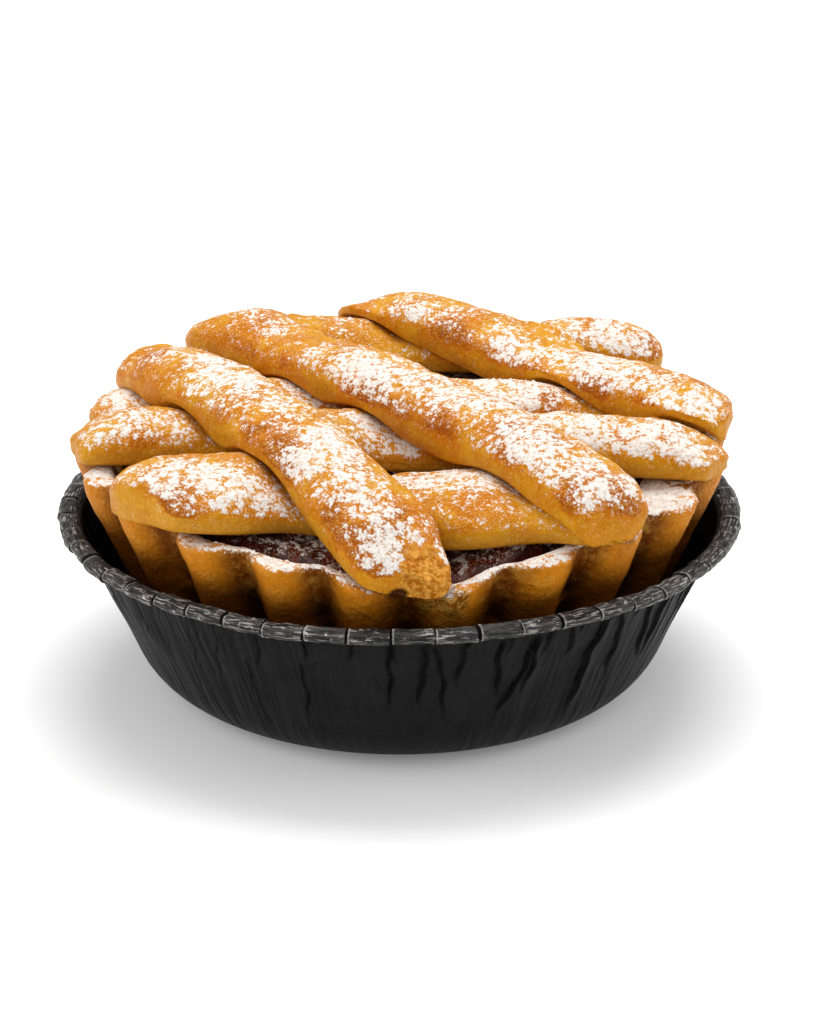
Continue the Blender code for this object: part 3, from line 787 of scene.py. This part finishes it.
dough = Finish("egg_washed_dough", Specular_IOR_Level=0.15, Specular_Tint=(1.0, 0.6, 0.2, 1))
mottle = dough.lumps(3.2 * MM, 5, 0.62)
speck = dough.lumps(0.45 * MM, 3, 0.7)
patch = dough.lumps(6 * MM, 3, 0.55)
crumb = dough.lumps(0.75 * MM, 3, 0.65)
gold = dough.blend(patch.between(0.40, 0.62), (0.58, 0.185, 0.001), (0.68, 0.30, 0.006))
colour = dough.blend(dough.painted("pale") * 0.9, gold, (0.60, 0.27, 0.025))
much = dough.painted("brown") * (mottle + 0.5)
colour = dough.blend(much.between(0.02, 0.70), colour, (0.58, 0.165, 0.003))
colour = dough.blend(much.between(0.40, 1.10), colour, (0.35, 0.074, 0.002))
colour = dough.blend(mottle.between(0.55, 0.8) * 0.35, colour, (0.70, 0.36, 0.030))
colour = dough.blend(crumb.between(0.50, 0.66) * 0.40, colour, (0.76, 0.40, 0.040))
colour = dough.blend(speck.between(0.54, 0.72) * 0.45, colour, (0.36, 0.11, 0.004))
torn = dough.painted("torn")
shreds = dough.lumps(1.0 * MM, 4, 0.7)
broken = dough.blend(shreds.between(0.38, 0.60), (0.56, 0.15, 0.003), (0.95, 0.46, 0.075))
colour = dough.blend(torn, colour, broken)
# Painted shade for the small hole beside the broken end.
colour = dough.blend(dough.painted("hole_shade").between(0.2, 0.6), colour, (0.05, 0.01, 0.002))
relief = [(mottle, 0.45 * MM), (crumb, 0.34 * MM), (speck, 0.14 * MM), (shreds * torn, 1.0 * MM)]
dust_with_sugar(dough, colour, 0.42, relief)
pastry_pieces = [crust_piece]
for seed, (node, notes) in enumerate(LOWER_STRIPS.items()):
    piece = dress_strip(node, *notes, seed=30 + 5 * seed)
    piece.data.materials.append(dough.material)
    pastry_pieces.append(piece)

# The upper strips: the same dough, laid across the lower ones last and browned more, since they stand
# highest in the oven. The first ends in a broken, crumbly edge at the front.
UPPER_STRIPS = {
    "upper_strip_1": (
        [(-41, 13, 2.2, 0.55), (-33, 5, 3.2, 0.9), (-30, -3, 2.8, 1.0), (-25, -9, 2.6, 0.75),
         (-20, -18, 2.4, 0.75), (-12, -27, 2.2, 0.8), (-15, -34, 3.0, 0.95), (-9, -32, 2.2, 0.8),
         (-7, -43, 3.0, 0.9), (-1, -54, 3.0, 1.0), (9, -50, 2.2, 0.9)],
        [(-43, 13, 2.4, 0.8), (-21, -25, 2.8, 0.7), (-18, -32, 2.4, 0.8), (-11, -47, 2.6, 1.0),
         (-4, -53, 2.4, 0.8), (0, -46, 2.4, 0.6)],
    ),
    "upper_strip_2": (
        [(-27, 32, 1.6, 0.5), (-22, 24, 2.2, 0.5), (-15, 11, 2.2, 0.6), (-8, 5, 2.9, 0.95),
         (-3, 0, 3.0, 1.0), (4, -4, 2.4, 0.85), (9, -12, 3.0, 0.95), (16, -15, 2.8, 0.9),
         (22, -23, 2.2, 0.8), (18, -29, 2.8, 0.9), (24, -36, 2.8, 0.9), (30, -37, 2.2, 0.85),
         (32, -45, 2.6, 0.95), (38, -39, 1.6, 0.85)],
        [(-24, 26, 2.6, 0.7), (-6, -4, 2.8, 1.0), (6, -18, 2.8, 0.9), (18, -26, 2.6, 0.9),
         (25, -30, 2.4, 0.9), (28, -43, 2.8, 0.8), (35, -42, 2.4, 0.75)],
    ),
    "upper_strip_3": (
        [(-5, 50, 2.2, 0.8), (3, 36, 2.8, 0.75), (12, 35, 1.8, 0.5), (19, 23, 2.6, 0.95),
         (27, 18, 2.4, 0.85), (34, 13, 3.0, 1.0), (38, 5, 3.0, 1.0), (44, -4, 3.2, 0.9),
         (51, -7, 2.8, 0.95)],
        [(10, 30, 2.6, 0.85), (17, 20, 2.3, 0.8), (34, 5, 3.0, 0.85), (52, 2, 1.6, 0.7),
         (24, 14, 1.8, 0.7)],
    ),
}
for seed, (node, notes) in enumerate(UPPER_STRIPS.items()):
    piece = dress_strip(node, *notes, seed=60 + 5 * seed)
    piece.data.materials.append(dough.material)
    pastry_pieces.append(piece)

# The sugar that lies in clumps: sieved icing sugar that stuck together in the damp, as grains that stand
# up from the dusted places. They fall where the dusting is thickest.
clump_tree = bpy.data.node_groups.new("Sugar clumps", "GeometryNodeTree")
for name, kind in (("Dusted", "Object"), ("Clumps to the square metre", "Float"), ("Clump size", "Float"),
                   ("Least thickness", "Float"), ("Facets", "Int"), ("Seed", "Int"), ("Sugar", "Material")):
    clump_tree.interface.new_socket(name, in_out="INPUT", socket_type="NodeSocket" + kind)
clump_tree.interface.new_socket("Mesh", in_out="OUTPUT", socket_type="NodeSocketGeometry")
given = step_in(clump_tree, "NodeGroupInput").outputs
taken = step_in(clump_tree, "GeometryNodeObjectInfo", {"Object": given["Dusted"]})
values = {"Name": "sugar"}
field = step_in(clump_tree, "GeometryNodeInputNamedAttribute", values, data_type="FLOAT").outputs[0]
place = step_in(clump_tree, "GeometryNodeInputPosition").outputs[0]
# The same grains and drifts as in dust_with_sugar, so that the clumps stand where the dusting is thick
for size, weight in ((GRAIN_SIZE, GRAIN_WEIGHT), (CLUMP_SIZE, CLUMP_WEIGHT)):
    values = {"Vector": place, "Scale": 1 / size}
    apart = step_in(clump_tree, "ShaderNodeTexVoronoi", values).outputs["Distance"]
    away = sum_in(clump_tree, "MULTIPLY", apart, Finish.GRAIN_FALL)
    grain = sum_in(clump_tree, "MAXIMUM", sum_in(clump_tree, "SUBTRACT", 1.0, away), 0.0)
    part = sum_in(clump_tree, "MULTIPLY", sum_in(clump_tree, "SUBTRACT", grain, GRAIN_MEAN), weight)
    field = sum_in(clump_tree, "ADD", field, part)
values = {"Vector": place, "Scale": 1 / DRIFT_SIZE, "Detail": 3.0, "Roughness": 0.6}
drift = step_in(clump_tree, "ShaderNodeTexNoise", values).outputs[0]
part = sum_in(clump_tree, "MULTIPLY", sum_in(clump_tree, "SUBTRACT", drift, DRIFT_MEAN), DRIFT_WEIGHT)
field = sum_in(clump_tree, "ADD", field, part)
over = sum_in(clump_tree, "SUBTRACT", field, given["Least thickness"])
chance = sum_in(clump_tree, "MULTIPLY", over, 2.5)
chance = step_in(clump_tree, "ShaderNodeClamp", {"Value": chance}).outputs[0]
chance = sum_in(clump_tree, "MULTIPLY", chance, given["Clumps to the square metre"])
values = {"Mesh": taken.outputs["Geometry"], "Density": chance, "Seed": given["Seed"]}
spots = step_in(clump_tree, "GeometryNodeDistributePointsOnFaces", values, distribute_method="RANDOM")
values = {"Radius": 1.0, "Subdivisions": given["Facets"]}
grain_form = step_in(clump_tree, "GeometryNodeMeshIcoSphere", values)
sizes = []
for seed in (1, 2, 3):
    values = {2: 0.45, 3: 1.25, "Seed": seed}
    much = step_in(clump_tree, "FunctionNodeRandomValue", values, data_type="FLOAT").outputs[1]
    sizes.append(sum_in(clump_tree, "MULTIPLY", much, given["Clump size"]))
flat = sum_in(clump_tree, "MULTIPLY", sizes[2], 0.8)
size = step_in(clump_tree, "ShaderNodeCombineXYZ", {"X": sizes[0], "Y": sizes[1], "Z": flat}).outputs[0]
values = {"Points": spots.outputs["Points"], "Instance": grain_form.outputs["Mesh"],
          "Rotation": spots.outputs["Rotation"], "Scale": size}
placed = step_in(clump_tree, "GeometryNodeInstanceOnPoints", values)
whole = step_in(clump_tree, "GeometryNodeRealizeInstances", {0: placed.outputs[0]})
values = {"Geometry": whole.outputs[0], "Material": given["Sugar"]}
dressed = step_in(clump_tree, "GeometryNodeSetMaterial", values)
step_in(clump_tree, "NodeGroupOutput", {"Mesh": dressed.outputs[0]})

icing = Finish("icing_sugar", Specular_IOR_Level=0.3, Roughness=0.9)
shade = icing.lumps(0.5 * MM, 2, 0.6)
icing.set(Base_Color=icing.blend(shade, (0.84, 0.79, 0.73), (0.92, 0.88, 0.83)))
icing.relief((shade, 0.1 * MM))


def joined(name, parts):
    """One piece out of several plain meshes."""
    form = bmesh.new()
    for part in parts:
        form.from_mesh(part.data)
    mesh = bpy.data.meshes.new(name)
    form.to_mesh(mesh)
    form.free()
    for part in parts:
        bpy.data.objects.remove(part)
    mesh.shade_smooth()
    return add_piece(name, mesh)


# A little sugar has fallen on the rim of the case too
rim_points, rim_normals = points_of(rim_piece.data), normals_of(rim_piece.data)
fallen = 0.16 + 0.14 * unevenness(rim_points, 6 * MM, 41)
paint(rim_piece.data, "sugar", np.clip(fallen, 0, 1) * smooth_step(0.1, 0.5, rim_normals[:, 2]))
# Each kind of clump: its name, how many to the square metre, size, least thickness of dusting and facets
CLUMPS = [
    ("sugar_grains", 8e5, 0.15 * MM, 0.58, 1),
    ("sugar_clumps", 2.0e5, 0.32 * MM, 0.72, 2),
]
for name, count, size, least, facets in CLUMPS:
    parts = [
        grown(clump_tree, f"{name}_{number}", dusted=host, clumps_to_the_square_metre=count,
              clump_size=size, least_thickness=least, facets=facets, seed=number, sugar=icing.material)
        for number, host in enumerate([*pastry_pieces, rim_piece])
    ]
    piece = joined(name, parts)
    piece.data.materials.append(icing.material)
    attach(piece, "root")

# The photograph's view: a long lens, looking down on the tart by about 21 degrees
VIEW_FROM = (0, -0.5607, 0.2490)
VIEW_TOWARDS = (0, 0, 0.0304)
VIEW_LENS, VIEW_SENSOR = 121.3, 36
VIEW_SHIFT = (0.00977, -0.00576)
camera = bpy.data.objects.new("camera", bpy.data.cameras.new("camera"))
camera.data.sensor_width = VIEW_SENSOR
camera.data.lens = VIEW_LENS
camera.data.shift_x, camera.data.shift_y = VIEW_SHIFT
camera.data.clip_start = 0.01
camera.location = VIEW_FROM
camera.rotation_euler = (Vector(VIEW_TOWARDS) - camera.location).to_track_quat("-Z", "Y").to_euler()
bpy.context.scene.collection.objects.link(camera)
bpy.context.scene.camera = camera

# The pale floor, and soft light from large boxes and a bright tent
FLOOR_REACH = 3
corners = [(side * FLOOR_REACH, end * FLOOR_REACH, 0) for side, end in ((-1, -1), (1, -1), (1, 1), (-1, 1))]
floor_mesh = bpy.data.meshes.new("floor")
floor_mesh.from_pydata(corners, [], [(0, 1, 2, 3)])
floor = add_piece("floor", floor_mesh)
plain = Finish("pale_floor", Base_Color=(0.88, 0.88, 0.88, 1), Roughness=0.9, Specular_IOR_Level=0.1,
               Emission_Color=(1, 1, 1, 1), Emission_Strength=0.15)
floor_mesh.materials.append(plain.material)
LIT_MIDDLE = Vector((0, 0, 0.03))


def soft_box(name, at, size, power):
    """A rectangular lamp that faces the tart: place and size in metres, power in watts."""
    light = bpy.data.lights.new(name, "AREA")
    light.shape = "RECTANGLE"
    light.size, light.size_y = size
    light.energy = power
    lamp = bpy.data.objects.new(name, light)
    lamp.location = at
    lamp.rotation_euler = (LIT_MIDDLE - lamp.location).to_track_quat("-Z", "Y").to_euler()
    bpy.context.scene.collection.objects.link(lamp)


soft_box("overhead", (0.05, 0.25, 0.75), (0.6, 0.5), 4.4)
soft_box("left_window", (-0.75, -0.10, 0.35), (0.4, 0.5), 2.0)
soft_box("right_window", (0.75, 0.0, 0.35), (0.4, 0.5), 1.5)
soft_box("front", (-0.15, -0.8, 0.55), (0.4, 0.3), 0.7)
sky = bpy.data.worlds.new("studio")
sky.use_nodes = True
sky_nodes, sky_links = sky.node_tree.nodes, sky.node_tree.links
upward = sky_nodes.new("ShaderNodeSeparateXYZ")
sky_links.new(sky_nodes.new("ShaderNodeTexCoord").outputs["Generated"], upward.inputs[0])
tent = sky_nodes.new("ShaderNodeMapRange")  # a bright tent overhead, dimmer towards the horizon
for name, value in (("From Min", 0.0), ("From Max", 0.75), ("To Min", 0.18), ("To Max", 0.72)):
    tent.inputs[name].default_value = value
sky_links.new(upward.outputs[2], tent.inputs["Value"])
sky_links.new(tent.outputs[0], sky_nodes["Background"].inputs["Strength"])
sky_nodes["Background"].inputs["Color"].default_value = (1, 1, 1, 1)
bpy.context.scene.world = sky
bpy.context.scene.view_settings.view_transform = "Standard"
